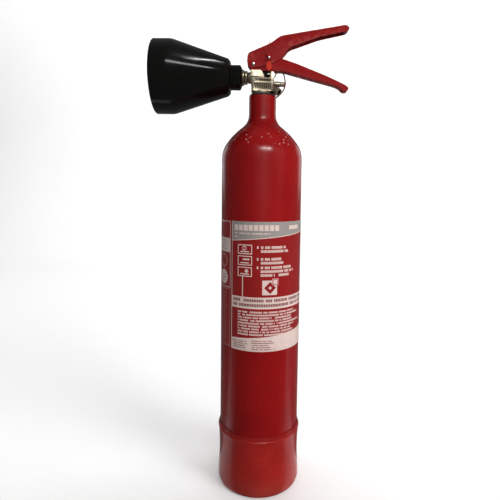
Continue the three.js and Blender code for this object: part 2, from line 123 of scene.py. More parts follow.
# ---- mesh tools ----
def soften(points, radius, steps=4):
    """The outline with each sharp corner rounded. A closed outline repeats its first point."""
    closed = points[0] == points[-1]
    corners = [Vector(p) for p in (points[:-1] if closed else points)]
    count = len(corners)
    out = []
    for i, corner in enumerate(corners):
        before, after = corners[i - 1] - corner, corners[(i + 1) % count] - corner
        ends = not closed and i in (0, count - 1)
        if ends or before.angle(after) > math.radians(165):
            out.append(corner)
            continue
        reach = min(radius, before.length / 2.2, after.length / 2.2)
        start, end = corner + before.normalized() * reach, corner + after.normalized() * reach
        for step in range(steps + 1):
            t = step / steps
            out.append(start * (1 - t) ** 2 + corner * 2 * t * (1 - t) + end * t ** 2)
    if closed:
        out.append(out[0])
    return [tuple(p) for p in out]


def spline(points, steps):
    """A smooth curve through the points."""
    p = [Vector(q) for q in points]
    p = [2 * p[0] - p[1], *p, 2 * p[-1] - p[-2]]
    out = []
    for a, b, c, d in zip(p, p[1:], p[2:], p[3:]):
        for step in range(steps):
            t = step / steps
            out.append(tuple(0.5 * (2 * b + (c - a) * t + (2 * a - 5 * b + 4 * c - d) * t ** 2
                                    + (3 * b - a - 3 * c + d) * t ** 3)))
    out.append(tuple(p[-2]))
    return out


def new_object(name, mesh, sharp=35):
    obj = bpy.data.objects.new(name, mesh)
    bpy.context.scene.collection.objects.link(obj)
    mesh.polygons.foreach_set("use_smooth", [True] * len(mesh.polygons))
    mesh.set_sharp_from_angle(angle=math.radians(sharp))
    return obj


def mesh_from(name, verts, faces, sharp=35):
    mesh = bpy.data.meshes.new(name)
    mesh.from_pydata([tuple(c * MM for c in v) for v in verts], [], faces)
    work = bmesh.new()
    work.from_mesh(mesh)
    bmesh.ops.remove_doubles(work, verts=work.verts, dist=1e-7)
    bmesh.ops.recalc_face_normals(work, faces=work.faces)
    work.to_mesh(mesh)
    work.free()
    return new_object(name, mesh, sharp)


def lathe(name, profile, centre=(0, 0, 0), axis="Z", segments=SEGMENTS, sharp=35):
    """Turns [radius, distance along the axis] about a line through centre."""
    verts, faces = [], []
    for r, h in profile:
        for i in range(segments):
            a = 2 * math.pi * i / segments
            u, v = r * math.cos(a), r * math.sin(a)
            point = {"Z": (u, v, h), "X": (h, u, v), "Y": (v, h, u)}[axis]
            verts.append([p + c for p, c in zip(point, centre)])
    for k in range(len(profile) - 1):
        for i in range(segments):
            j = (i + 1) % segments
            low, high = k * segments, (k + 1) * segments
            if profile[k][0] == 0:
                faces.append((low, high + j, high + i))
            elif profile[k + 1][0] == 0:
                faces.append((low + i, low + j, high))
            else:
                faces.append((low + i, low + j, high + j, high + i))
    return mesh_from(name, verts, faces, sharp)


def tube(name, path, radius, sides=16, closed=False, squeeze=None):
    """A round tube along a path of points, twist-free. squeeze(t), t from 0 to 1, scales its radius."""
    path = [Vector(p) for p in path]
    count = len(path)
    verts, faces = [], []
    side = None
    for i, point in enumerate(path):
        if closed:
            along = path[(i + 1) % count] - path[i - 1]
        else:
            along = path[min(i + 1, count - 1)] - path[max(i - 1, 0)]
        along.normalize()
        if side is None:
            side = along.orthogonal()
        side = (side - along * side.dot(along)).normalized()
        other = along.cross(side)
        r = radius * (squeeze(i / (count - 1)) if squeeze else 1)
        for k in range(sides):
            a = 2 * math.pi * k / sides
            verts.append(point + side * r * math.cos(a) + other * r * math.sin(a))
    rings = count if closed else count - 1
    for i in range(rings):
        for k in range(sides):
            a, b = i * sides, ((i + 1) % count) * sides
            j = (k + 1) % sides
            faces.append((a + k, a + j, b + j, b + k))
    if not closed:
        faces.append(tuple(range(sides)))
        faces.append(tuple((count - 1) * sides + k for k in range(sides)))
    return mesh_from(name, verts, faces)


def apply_modifiers(obj):
    view = bpy.context.evaluated_depsgraph_get()
    mesh = bpy.data.meshes.new_from_object(obj.evaluated_get(view))
    obj.modifiers.clear()
    obj.data = mesh
    return mesh


def refined(name, node, bevel, sharp=30, segments=3):
    """A copy of a CAD solid with its flat faces joined up and its edges rounded."""
    mesh = NODES[node].data.copy()
    work = bmesh.new()
    work.from_mesh(mesh)
    bmesh.ops.remove_doubles(work, verts=work.verts, dist=2e-6)
    bmesh.ops.dissolve_limit(
        work, angle_limit=math.radians(0.6), verts=work.verts, edges=work.edges,
    )
    work.to_mesh(mesh)
    work.free()
    mesh.materials.clear()
    obj = bpy.data.objects.new(name, mesh)
    bpy.context.scene.collection.objects.link(obj)
    rounding = obj.modifiers.new("rounding", "BEVEL")
    rounding.width = bevel * MM
    rounding.segments = segments
    rounding.limit_method = "ANGLE"
    rounding.angle_limit = math.radians(sharp)
    rounding.use_clamp_overlap = True
    rounding.miter_outer = "MITER_ARC"
    apply_modifiers(obj)
    obj.data.polygons.foreach_set("use_smooth", [True] * len(obj.data.polygons))
    obj.data.set_sharp_from_angle(angle=math.radians(40))
    return obj


def join(name, objects):
    """One object from several."""
    work = bmesh.new()
    for obj in objects:
        work.from_mesh(obj.data)
        bpy.data.objects.remove(obj)
    mesh = bpy.data.meshes.new(name)
    work.to_mesh(mesh)
    work.free()
    return new_object(name, mesh)


# ---- material tools ----
class Finish:
    """A procedural material: short calls that add nodes and return their outputs."""

    def __init__(self, name):
        self.material = bpy.data.materials.new(name)
        self.material.use_nodes = True
        self.tree = self.material.node_tree
        self.shader = self.tree.nodes["Principled BSDF"]
        self.place = self.tree.nodes.new("ShaderNodeTexCoord").outputs["Object"]

    def link(self, value, socket):
        if isinstance(value, bpy.types.NodeSocket):
            self.tree.links.new(value, socket)
        elif value is not None:
            socket.default_value = value

    def node(self, kind, inputs=(), **settings):
        made = self.tree.nodes.new(kind)
        for key, value in settings.items():
            setattr(made, key, value)
        for key, value in dict(inputs).items():
            self.link(value, made.inputs[key])
        return made

    def math(self, operation, *values):
        made = self.node("ShaderNodeMath", operation=operation)
        for value, socket in zip(values, made.inputs):
            self.link(value, socket)
        return made.outputs[0]

    def axes(self):
        return self.node("ShaderNodeSeparateXYZ", {"Vector": self.place}).outputs

    def stretched(self, x, y, z):
        return self.node("ShaderNodeMapping", {"Vector": self.place, "Scale": (x, y, z)}).outputs[0]

    def noise(self, scale, detail=3, rough=0.5, where=None):
        inputs = {"Vector": where or self.place, "Scale": scale, "Detail": detail, "Roughness": rough}
        return self.node("ShaderNodeTexNoise", inputs).outputs["Fac"]

    def cells(self, scale, where=None):
        return self.node("ShaderNodeTexVoronoi", {"Vector": where or self.place, "Scale": scale})

    def span(self, value, low, high, to_low=0.0, to_high=1.0):
        inputs = {0: value, 1: low, 2: high, 3: to_low, 4: to_high}
        return self.node("ShaderNodeMapRange", inputs).outputs[0]

    def mix(self, factor, a, b):
        made = self.node("ShaderNodeMix", data_type="RGBA")
        self.link(factor, made.inputs[0])
        for value, socket in ((a, made.inputs[6]), (b, made.inputs[7])):
            self.link((*value, 1) if isinstance(value, tuple) else value, socket)
        return made.outputs[2]

    def bump(self, *layers):
        """Each layer is (height, strength, depth in metres)."""
        normal = None
        for height, strength, depth in layers:
            inputs = {"Height": height, "Strength": strength, "Distance": depth}
            if normal:
                inputs["Normal"] = normal
            normal = self.node("ShaderNodeBump", inputs).outputs[0]
        self.link(normal, self.shader.inputs["Normal"])

    def edges(self, low, high):
        """1 on outer edges, from the mesh's own curvature."""
        pointiness = self.node("ShaderNodeNewGeometry").outputs["Pointiness"]
        return self.span(pointiness, low, high)

    def crevices(self, reach):
        """1 in the open, towards 0 in corners."""
        inputs = {"Distance": reach}
        return self.node("ShaderNodeAmbientOcclusion", inputs, samples=6).outputs["AO"]

    def set(self, **values):
        for key, value in values.items():
            socket = self.shader.inputs[key.replace("_", " ")]
            self.link((*value, 1) if isinstance(value, tuple) and len(value) == 3 else value, socket)
        return self


FINISHES = {}


def finish(slot):
    def keep(make):
        made = Finish(slot)
        make(made)
        FINISHES[slot] = made.material
        return make
    return keep


# ---- paints and plastics ----
RED = (0.235, 0.0055, 0.006)
RED_DEEP = (0.17, 0.003, 0.0035)
RED_WORN = (0.42, 0.035, 0.032)
CHIP = (0.62, 0.40, 0.38)
CHIPS_Z, CHIPS_REACH, CHIPS_Y = 0.4455, 0.0105, -0.012


@finish("red_paint")
def red_paint(f):
    axes = f.axes()
    cloud = f.noise(14, 4)
    color = f.mix(f.span(cloud, 0.3, 0.7), RED_DEEP, RED)
    # small chips through the paint round the front of the shoulder
    dots = f.cells(380)
    chip = f.math("LESS_THAN", dots.outputs["Distance"], 0.3)
    dice = f.node("ShaderNodeSeparateColor", {0: dots.outputs["Color"]}).outputs[0]
    rare = f.math("GREATER_THAN", dice, 0.86)
    band = f.math("COMPARE", axes["Z"], CHIPS_Z, CHIPS_REACH)
    front = f.math("LESS_THAN", axes["Y"], CHIPS_Y)
    chip = f.math("MULTIPLY", f.math("MULTIPLY", chip, rare), f.math("MULTIPLY", band, front))
    color = f.mix(chip, color, CHIP)
    # fine upright marks from wiping and handling
    marks = f.noise(90, 3, 0.6, f.stretched(1, 1, 0.03))
    rough = f.span(marks, 0.35, 0.7, 0.2, 0.34)
    f.set(Base_Color=color, Roughness=rough, Specular_IOR_Level=0.13, Coat_Weight=0.05, Coat_Roughness=0.05)
    f.bump((f.noise(520, 2), 0.05, 0.0004), (chip, -0.3, 0.0002), (f.noise(25, 2), 0.03, 0.001))


@finish("red_plastic")
def red_plastic(f):
    z = f.axes()["Z"]
    cloud = f.noise(30, 4)
    color = f.mix(f.span(cloud, 0.3, 0.7), (0.21, 0.008, 0.006), (0.27, 0.012, 0.009))
    dust = f.math("MULTIPLY", f.span(z, 0.03, 0.0, 0, 0.5), f.noise(60, 5, 0.7))
    color = f.mix(dust, color, (0.20, 0.06, 0.045))
    rubbed = f.span(f.noise(240, 3, 0.6, f.stretched(1, 1, 0.15)), 0.62, 0.75, 0, 0.35)
    color = f.mix(rubbed, color, RED_WORN)
    # painted shade: the sloping lip above the bead, which faces up into the light, is painted darker
    color = f.mix(f.span(z, (BEAD_Z - 0.4) * MM, (BEAD_Z + 0.2) * MM, 0, 0.45), color, (0.12, 0.004, 0.004))
    f.set(Base_Color=color, Roughness=f.span(cloud, 0.3, 0.7, 0.2, 0.28), Specular_IOR_Level=0.22)
    f.bump((f.noise(1500, 2), 0.12, 0.0002), (f.noise(40, 3), 0.06, 0.001))


@finish("lever_paint")
def lever_paint(f):
    cloud = f.noise(60, 4)
    color = f.mix(f.span(cloud, 0.3, 0.7), (0.185, 0.007, 0.008), (0.215, 0.009, 0.0095))
    edge = f.math("MULTIPLY", f.edges(0.6, 0.75), f.span(f.noise(260, 3), 0.45, 0.6))
    color = f.mix(f.math("MULTIPLY", edge, 0.35), color, (0.42, 0.10, 0.08))
    f.set(Base_Color=color, Roughness=f.span(f.noise(120, 3), 0.3, 0.7, 0.2, 0.34), Specular_IOR_Level=0.14)
    f.bump((f.noise(700, 2), 0.05, 0.0004), (f.noise(90, 2), 0.025, 0.001))


@finish("black_plastic")
def black_plastic(f):
    cloud = f.noise(35, 4)
    scuff = f.span(f.noise(420, 4, 0.7, f.stretched(0.25, 1, 1)), 0.6, 0.74, 0, 0.5)
    color = f.mix(scuff, (0.002, 0.0018, 0.0015), (0.011, 0.01, 0.009))
    edge = f.math("MULTIPLY", f.edges(0.52, 0.56), 0.35)
    color = f.mix(edge, color, (0.03, 0.03, 0.028))
    f.set(Base_Color=color, Roughness=f.span(cloud, 0.3, 0.7, 0.1, 0.18), Specular_IOR_Level=0.28)
    f.bump((f.noise(900, 2), 0.03, 0.0002), (f.noise(22, 3), 0.12, 0.0015))


@finish("black_rubber")
def black_rubber(f):
    color = f.mix(f.noise(200, 4), (0.014, 0.014, 0.014), (0.03, 0.029, 0.028))
    f.set(Base_Color=color, Roughness=f.span(f.noise(90, 3), 0.3, 0.7, 0.6, 0.8))
    f.bump((f.noise(1400, 3), 0.2, 0.0002))


@finish("seat_plastic")
def seat_plastic(f):
    f.set(Base_Color=f.mix(f.noise(150, 3), (0.62, 0.60, 0.54), (0.72, 0.70, 0.64)),
          Roughness=f.span(f.noise(300, 3), 0.3, 0.7, 0.45, 0.6))
    f.bump((f.noise(1200, 2), 0.1, 0.0001))


@finish("seal_plastic")
def seal_plastic(f):
    color = f.mix(f.noise(140, 3), (0.36, 0.022, 0.01), (0.47, 0.038, 0.017))
    f.set(Base_Color=color, Roughness=f.span(f.noise(240, 3), 0.3, 0.7, 0.3, 0.42),
          Specular_IOR_Level=0.2, Subsurface_Weight=0.25)
    f.shader.inputs["Subsurface Radius"].default_value = (0.002, 0.0006, 0.0003)
    f.bump((f.noise(700, 2), 0.08, 0.0002))


@finish("leash_cord")
def leash_cord(f):
    weave = f.node("ShaderNodeTexWave", {"Vector": f.place, "Scale": 620, "Distortion": 3, "Detail": 1},
                   bands_direction="DIAGONAL").outputs["Fac"]
    color = f.mix(weave, (0.07, 0.003, 0.004), (0.16, 0.007, 0.009))
    f.set(Base_Color=color, Roughness=f.span(f.noise(500, 2), 0.3, 0.7, 0.5, 0.65), Specular_IOR_Level=0.1)
    f.bump((weave, 0.35, 0.0003))


# ---- metals ----
def metal(f, light, dark, rough, painted_crevice_shade, streak=(1, 1, 1), marks=None):
    """Two tones, with fine wear along the streak, painted shade in the corners and dark marks where asked
    for.
    """
    tone = f.noise(120, 4, 0.6, f.stretched(*streak))
    color = f.mix(f.span(tone, 0.3, 0.7), dark, light)
    if painted_crevice_shade:
        # painted shade: the metal is darkened in its corners and hollows by the occlusion, broken up by noise
        shade = f.span(f.crevices(0.006), 0.3, 0.92)
        shade = f.math("MULTIPLY", shade, f.span(f.noise(190, 4), 0.25, 0.5, 0.75, 1))
        color = f.mix(shade, (dark[0] * 0.2, dark[1] * 0.15, dark[2] * 0.12), color)
    if marks:
        color = f.mix(f.math("MULTIPLY", marks, 0.8), color, (0.05, 0.035, 0.02))
    worn = f.span(f.noise(480, 4, 0.7, f.stretched(*streak)), 0.3, 0.7, rough, rough + 0.16)
    f.set(Base_Color=color, Metallic=1.0, Roughness=worn)
    f.bump((f.noise(800, 3, 0.6, f.stretched(*streak)), 0.08, 0.0002), (f.noise(150, 2), 0.06, 0.0006))


# Plain cast bars in the two recessed panels at the front of the valve, in metres: bottom, top, left, right
# and pitch of each row. Only the metal in front of BARS_Y has them.
BAR_ROWS = (
    (0.5068, 0.5112, -0.0092, 0.0078, 0.0027),
    (0.5156, 0.5177, -0.0042, 0.0082, 0.0031),
)
BARS_Y = -0.0106


@finish("nickel_brass")
def nickel_brass(f):
    x, y, z = f.axes()
    front = f.math("LESS_THAN", y, BARS_Y)
    marks = None
    for low, high, left, right, pitch in BAR_ROWS:
        row = f.math("COMPARE", z, (low + high) / 2, (high - low) / 2)
        reach = f.math("COMPARE", x, (left + right) / 2, (right - left) / 2)
        bars = f.math("GREATER_THAN", f.math("FRACT", f.math("DIVIDE", x, pitch)), 0.45)
        here = f.math("MULTIPLY", f.math("MULTIPLY", row, reach), f.math("MULTIPLY", bars, front))
        marks = f.math("MAXIMUM", marks, here) if marks else here
    metal(f, (0.60, 0.53, 0.40), (0.36, 0.29, 0.19), 0.26, True, marks=marks)


@finish("dark_brass")
def dark_brass(f):
    metal(f, (0.20, 0.16, 0.11), (0.09, 0.07, 0.05), 0.4, True)


@finish("copper")
def copper(f):
    metal(f, (0.72, 0.36, 0.22), (0.50, 0.22, 0.12), 0.3, False)


@finish("bright_steel")
def bright_steel(f):
    metal(f, (0.74, 0.73, 0.71), (0.50, 0.49, 0.47), 0.16, False, (1, 0.2, 1))


@finish("aluminium_tube")
def aluminium_tube(f):
    metal(f, (0.78, 0.78, 0.77), (0.62, 0.62, 0.61), 0.3, False, (1, 1, 0.05))


# ---- printed labels ----
# s runs round the cylinder from its front, positive towards the levers' side, and z is height, both in mm.
PRINT = (0.60, 0.47, 0.43)
GREY = (0.25, 0.23, 0.215)
FILM_RED = (0.21, 0.007, 0.008)
DARK_INK = (0.16, 0.05, 0.045)


class Label:
    """Flat graphics laid over the film, each a mask over (s, z)."""

    def __init__(self, f, ground):
        self.f = f
        x, y, z = f.axes()
        angle = f.math("ARCTAN2", x, f.math("MULTIPLY", y, -1.0))
        self.s = f.math("MULTIPLY", angle, LABEL_R)
        self.z = f.math("DIVIDE", z, MM)
        self.color = ground

    def lay(self, mask, color):
        self.color = self.f.mix(mask, self.color, color)

    def both(self, a, b):
        return self.f.math("MULTIPLY", a, b)

    def within(self, value, low, high):
        return self.f.math("COMPARE", value, (low + high) / 2, (high - low) / 2)

    def bar(self, s0, s1, z0, z1):
        return self.both(self.within(self.s, s0, s1), self.within(self.z, z0, z1))

    def frame(self, s0, s1, z0, z1, line):
        inner = self.bar(s0 + line, s1 - line, z0 + line, z1 - line)
        return self.f.math("SUBTRACT", self.bar(s0, s1, z0, z1), inner)

    def away(self, s, z):
        ds, dz = self.f.math("SUBTRACT", self.s, s), self.f.math("SUBTRACT", self.z, z)
        return self.f.math("ABSOLUTE", ds), self.f.math("ABSOLUTE", dz)

    def disc(self, s, z, radius):
        ds, dz = self.away(s, z)
        far = self.f.math("ADD", self.both(ds, ds), self.both(dz, dz))
        return self.f.math("LESS_THAN", far, radius ** 2)

    def ring(self, s, z, radius, line):
        return self.f.math("SUBTRACT", self.disc(s, z, radius), self.disc(s, z, radius - line))

    def diamond(self, s, z, reach):
        ds, dz = self.away(s, z)
        return self.f.math("LESS_THAN", self.f.math("ADD", ds, dz), reach)

    def sloped(self, s0, z0, rise):
        """Height above a slanted line through (s0, z0)."""
        line = self.f.math("MULTIPLY_ADD", self.s, rise, z0 - s0 * rise)
        return self.f.math("SUBTRACT", self.z, line)

    def rows(self, s0, s1, z_top, count, pitch, height, letter=1.1):
        """Lines of plain dashes where a printed label has small text."""
        f = self.f
        depth = f.math("DIVIDE", f.math("SUBTRACT", z_top, self.z), pitch)
        row = f.math("FLOOR", depth)
        on = f.math("LESS_THAN", f.math("FRACT", depth), height / pitch)
        along = f.math("DIVIDE", self.s, letter)
        cell = f.node("ShaderNodeCombineXYZ", {0: f.math("FLOOR", along), 1: row}).outputs[0]
        dice = f.node("ShaderNodeTexWhiteNoise", {"Vector": cell}, noise_dimensions="2D").outputs[0]
        letters = f.math("GREATER_THAN", f.math("FRACT", along), 0.24)
        dash = self.both(f.math("GREATER_THAN", dice, 0.14), letters)
        ragged = f.node("ShaderNodeTexWhiteNoise", {"W": row}, noise_dimensions="1D").outputs[0]
        end = f.math("MULTIPLY_ADD", ragged, -0.22 * (s1 - s0), s1)
        short = f.math("LESS_THAN", self.s, end)
        area = self.bar(s0, s1, z_top - count * pitch, z_top)
        return self.both(self.both(area, short), self.both(on, dash))

    def finish(self):
        f = self.f
        worn = f.span(f.noise(130, 4, 0.65), 0.25, 0.75)
        faded = f.mix(f.math("MULTIPLY", worn, 0.12), self.color, (0.12, 0.03, 0.03))
        f.set(Base_Color=faded, Roughness=f.span(f.noise(60, 3), 0.3, 0.7, 0.3, 0.42),
              Specular_IOR_Level=0.25, Coat_Weight=0.08, Coat_Roughness=0.2)
        f.bump((f.noise(45, 3), 0.05, 0.0008), (f.noise(1100, 2), 0.04, 0.0002))


@finish("label_film")
def label_film(f):
    film = Label(f, f.mix(f.noise(20, 3), FILM_RED, RED))
    # title band, with a pale line under it
    over = film.sloped(-38, 320.8, 0.092)
    film.lay(f.math("GREATER_THAN", over, -0.9), PRINT)
    film.lay(f.math("GREATER_THAN", over, 0.0), GREY)
    blocks = f.math("FRACT", f.math("DIVIDE", f.math("ADD", film.s, 35.3), 6.4))
    film.lay(film.both(film.bar(-34, 23.5, 333, 339.8), f.math("GREATER_THAN", blocks, 0.2)), PRINT)
    film.lay(film.rows(-34, 18, 330.4, 1, 2, 1.7), PRINT)
    film.lay(film.rows(-34, -26, 326.2, 1, 2, 1.7), PRINT)
    film.lay(film.bar(37.2, 56, 334.4, 339), PRINT)
    # three instruction panels with plain symbols
    for low in (304.8, 291.3, 277.8):
        film.lay(film.frame(-28.9, -10.2, low, low + 11.5, 1.1), PRINT)
        film.lay(film.bar(-25, -14, low + 2.4, low + 3.8), PRINT)
    film.lay(film.ring(-20, 312, 2.6, 1), PRINT)
    film.lay(film.bar(-22, -13.5, 297.5, 299.6), PRINT)
    film.lay(film.diamond(-17, 284.6, 2.8), PRINT)
    # instruction lines beside the panels
    for top, lines, end in ((314.8, 2, 37), (300.8, 2, 30), (290.6, 3, 47)):
        film.lay(film.rows(0, end, top, lines, 4.6, 3.1, 1.6), PRINT)
        film.lay(film.bar(-4.3, -2.6, top - 3.1, top), PRINT)
    film.lay(film.bar(-22.6, -21.4, 253, 277.8), PRINT)
    # square with a diamond, and a small box at its corner
    film.lay(film.bar(2.4, 20.8, 256, 273.6), PRINT)
    film.lay(film.diamond(12, 264.6, 7.4), FILM_RED)
    film.lay(film.diamond(12, 264.6, 2.2), PRINT)
    film.lay(film.bar(14.4, 22.5, 267.5, 276), (0.42, 0.19, 0.18))
    film.lay(film.bar(16.2, 20.7, 269.6, 274), PRINT)
    # pale band with two dark lines
    film.lay(film.bar(-40, 92, 238.8, 253), PRINT)
    film.lay(film.rows(-36, 88, 250.8, 2, 5.8, 3.6, 2.1), DARK_INK)
    film.lay(film.rows(-28.5, 60, 235.8, 9, 3.45, 2.1, 1.3), PRINT)
    film.lay(film.rows(66, 92, 318, 14, 4.4, 2.2, 1.3), PRINT)
    # pale foot band, rising towards the right
    under = film.sloped(-38, 200.8, 0.085)
    film.lay(f.math("LESS_THAN", under, 0.0), PRINT)
    film.lay(film.rows(-35, -14, 198.6, 4, 2.6, 1.3), DARK_INK)
    film.lay(film.rows(-10.4, 19, 200.2, 5, 2.6, 1.3), DARK_INK)
    film.lay(film.bar(-38.8, -37.6, LABEL_Z0, LABEL_Z1), PRINT)
    film.finish()


@finish("label_side_film")
def label_side_film(f):
    film = Label(f, f.mix(f.noise(20, 3), FILM_RED, RED))
    film.lay(film.frame(-70.6, -41, 261, 343.2, 0.8), PRINT)
    film.lay(film.bar(-69, -41.4, 304.8, 322.4), PRINT)
    film.lay(film.rows(-66, -44, 319.6, 4, 3.4, 1.3), GREY)
    film.lay(film.ring(-55.5, 294, 8.6, 2), (0.36, 0.16, 0.15))
    film.lay(film.disc(-55.5, 273.4, 9), PRINT)
    film.lay(film.rows(-61, -49, 276.6, 3, 3.4, 1.2), DARK_INK)
    film.lay(film.frame(-70.6, -41, 187, 259.4, 0.7), (0.36, 0.16, 0.15))
    film.lay(film.rows(-67, -46, 254, 16, 4, 1.6), (0.30, 0.09, 0.085))
    film.finish()


# ---- pieces ----
def place(obj, *nodes):
    """obj stands for these nodes, on their body and in their finish."""
    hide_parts(*nodes)
    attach(obj, BODY_OF[nodes[0]])
    obj.data.materials.clear()
    obj.data.materials.append(FINISHES[SLOT_OF[nodes[0]]])
    return obj


def make_cylinder():
    outside = spline([
        (CYL_R, 410.6), (51, 419.7), (50.2, 427.1), (47.7, 434.8), (42.7, 442.3), (36.5, 449.8),
        (28.4, 457.3), (22.5, 462.3), (19.6, 466.2), (17.8, 471), (NECK_R, 477.2),
    ], 6)
    inside = [(r - WALL, h - 2.2) for r, h in reversed(outside[::3]) if r - WALL > NECK_BORE_R]
    mouth = [(NECK_R, NECK_TOP - 4), (NECK_R, NECK_TOP), (NECK_BORE_R, NECK_TOP), (NECK_BORE_R, 468.9)]
    foot = spline([(0, 3.4), (24, 6.5), (40, 16), (47.5, 28), (CYL_FOOT_R, 42)], 6)
    profile = [
        *foot, (CYL_FOOT_R, BOOT_TOP - 6), (CYL_R, BOOT_TOP + 0.4), *outside, *soften(mouth, 0.8), *inside,
        (CYL_R - WALL, 100), (CYL_FOOT_R - WALL, 42), (44, 30), (38, 20), (23, 10.6), (0, 7.6),
    ]
    place(lathe("cylinder_shell", profile), "cylinder")


def make_boot():
    outer = spline([(53, 4.6), (53, 11), (51.8, 34), (51.8, 53), (52.3, 62), (52.9, 68), (53.2, 70.4)], 5)
    bead = spline([(53.2, 70.4), (53.45, 71.2), (53.4, 72.2), (53, 72.9), (52.55, BEAD_Z)], 4)
    slope = [(52.5, 73.4), (51.75, BOOT_TOP), (51.5, BOOT_TOP), (BOOT_WALL_R, BOOT_TOP - 6.6)]
    lip = [*bead, *soften(slope, 0.4)]
    profile = [
        (0, 0), (48.6, 0), *soften([(48.6, 0), (51.8, 0.6), (53, 4.6)], 2)[1:-1], *outer, *lip[1:],
        (BOOT_WALL_R, 41.6), (48, 27), (40.6, 14.6), (24.6, 5.4), (19, 3), (0, 3),
    ]
    boot = lathe("boot_shell", profile)
    drains = []
    for degrees in (30, 150, 270):
        turn = math.radians(degrees)
        centre = (30 * math.cos(turn), 30 * math.sin(turn), 0)
        drains.append(lathe("drain", [(0, -1), (3, -1), (3, 12), (0, 12)], centre, segments=32))
    cutter = join("drains", drains)
    cut = boot.modifiers.new("drains", "BOOLEAN")
    cut.operation = "DIFFERENCE"
    cut.object = cutter
    cut.solver = "EXACT"
    apply_modifiers(boot)
    bpy.data.objects.remove(cutter)
    boot.data.set_sharp_from_angle(angle=math.radians(35))
    place(boot, "base_boot")


def make_label(node):
    """The film as a thin curved sheet with soft edges."""
    corners = [v.co for v in NODES[node].data.vertices]
    turns = [math.atan2(v.x, -v.y) for v in corners]
    low, high = min(turns), max(turns)
    across = max(8, round((high - low) / math.radians(2)))
    verts, faces = [], []
    between = [LABEL_Z0 + (LABEL_Z1 - LABEL_Z0) * k / 24 for k in range(1, 24)]
    heights = [LABEL_Z0, LABEL_Z0 + LABEL_EDGE, *between, LABEL_Z1 - LABEL_EDGE, LABEL_Z1]
    count = len(heights)
    for radius in (LABEL_INNER_R, LABEL_R):
        for i in range(across + 1):
            turn = low + (high - low) * i / across
            for k, height in enumerate(heights):
                at_edge = i in (0, across) or k in (0, count - 1)
                r = radius - (LABEL_EDGE_DROP if radius == LABEL_R and at_edge else 0)
                verts.append((r * math.sin(turn), -r * math.cos(turn), height))
    top = (across + 1) * count
    for i in range(across):
        for k in range(count - 1):
            a, b = i * count + k, (i + 1) * count + k
            faces += [(a, a + 1, b + 1, b), (top + a, top + b, top + b + 1, top + a + 1)]
    for i in range(across):
        for k in (0, count - 1):
            a, b = i * count + k, (i + 1) * count + k
            faces.append((a, b, top + b, top + a))
    for k in range(count - 1):
        for i in (0, across):
            a = i * count + k
            faces.append((a, a + 1, top + a + 1, top + a))
    place(mesh_from(node + "_sheet", verts, faces), node)


def make_horn():
    centre = (0, 0, OUTLET_Z)
    outer = soften([(4.8, -40.6), (19.7, -40.6), (22.9, -43.4), (45.1, -111), (HORN_R, -114.6),
                    (HORN_R, HORN_MOUTH), (43.3, HORN_MOUTH), (43.1, -115), (42.5, -111.5), (20.6, -45.4),
                    (18.8, -43.5), (4.8, -43.5), (4.8, -40.6)], 1.2)
    place(lathe("horn_shell", outer, centre, "X"), "horn")
    collar = soften([(7.3, -26.2), (11.8, -26.2), (15.4, -28.5), (15.4, -36.8), (14.9, -37.3),
                     (15.4, -37.8), (15.4, -40.3), (7.3, -40.3), (7.3, -26.2)], 0.5)
    place(lathe("collar_ring", collar, centre, "X", 96), "horn_collar")
    socket = soften([(4.6, -23.1), (9.2, -23.1), (10, -23.7), (10, -25.9), (7, -25.9), (7, -37.9),
                     (4.6, -37.9), (4.6, -32.3), (5.8, -32.3), (5.8, -30), (4.6, -30), (4.6, -23.1)], 0.3)
    place(lathe("socket_ring", socket, centre, "X", 96), "horn_socket")
    nozzle = soften([(1.3, -38.4), (4.4, -38.4), (4.4, -43.9), (6.6, -43.9), (6.6, -46.8), (3.6, -49.5),
                     (1.3, -49.5), (1.3, -38.4)], 0.3)
    place(lathe("nozzle_tip", nozzle, centre, "X", 64), "discharge_nozzle")
    lock = soften([(4.8, -19.2), (7.9, -19.2), (8.6, -19.9), (8.6, -22.2), (7.9, -22.8), (4.8, -22.8),
                   (4.8, -19.2)], 0.3)
    place(lathe("lock_ring_turned", lock, centre, "X", 96), "outlet_lock_ring")


def make_rivet():
    """Domed at the near side, set flat at the far side."""
    low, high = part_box("pivot_rivet")
    near, far = low.y / MM, high.y / MM
    centre = middle("pivot_rivet") / MM
    head_r, shank_r, dome_high, near_high, far_high = 2.4, 1.8, 1.0, 1.3, 1.2
    turns = [math.pi / 2 * i / 8 for i in range(9)]
    dome = [(head_r * math.sin(a), near + dome_high * (1 - math.cos(a))) for a in turns]
    set_end = [(shank_r, far - far_high), (head_r, far - far_high), (head_r, far), (0, far)]
    profile = [*dome, (head_r, near + near_high), (shank_r, near + near_high), (shank_r, far - far_high),
               *soften(set_end, 0.4)[1:]]
    place(lathe("pivot_rivet_set", profile, (centre.x, 0, centre.z), "Y", 64), "pivot_rivet")


def make_seal():
    """The strand stands up from the pin's tip, the strap covers the pin's slot, the tag is a moulded drop."""
    pin = middle("safety_pin") / MM
    way = spline([(0, -13.2, -2.6), (0, -13.2, 0.8), (-0.4, -12.2, 3.8), (-0.2, -10.4, 7), (0.1, -9.9, 13),
                  (0.4, -9.9, 21)], 8)
    strand = tube("seal_strand_drawn", [(pin.x + p[0], p[1], pin.z + p[2]) for p in way], 0.42, 12,
                  squeeze=lambda t: 1 - 0.35 * t)
    place(strand, "seal_strand")
    # the strap alone, cut out of the CAD strand by its depth
    front, back = -10.25, -9.45
    strap = refined("slot_cover", "seal_strand", 0.1)
    work = bmesh.new()
    work.from_mesh(strap.data)
    others = [face for face in work.faces if not all(front <= v.co.y / MM <= back for v in face.verts)]
    bmesh.ops.delete(work, geom=others, context="FACES")
    work.to_mesh(strap.data)
    work.free()
    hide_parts("seal_strand")
    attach(strap, BODY_OF["seal_strand"])
    strap.data.materials.append(FINISHES["lever_paint"])
    place(refined("seal_tag_moulded", "seal_tag", 0.6, segments=5), "seal_tag")


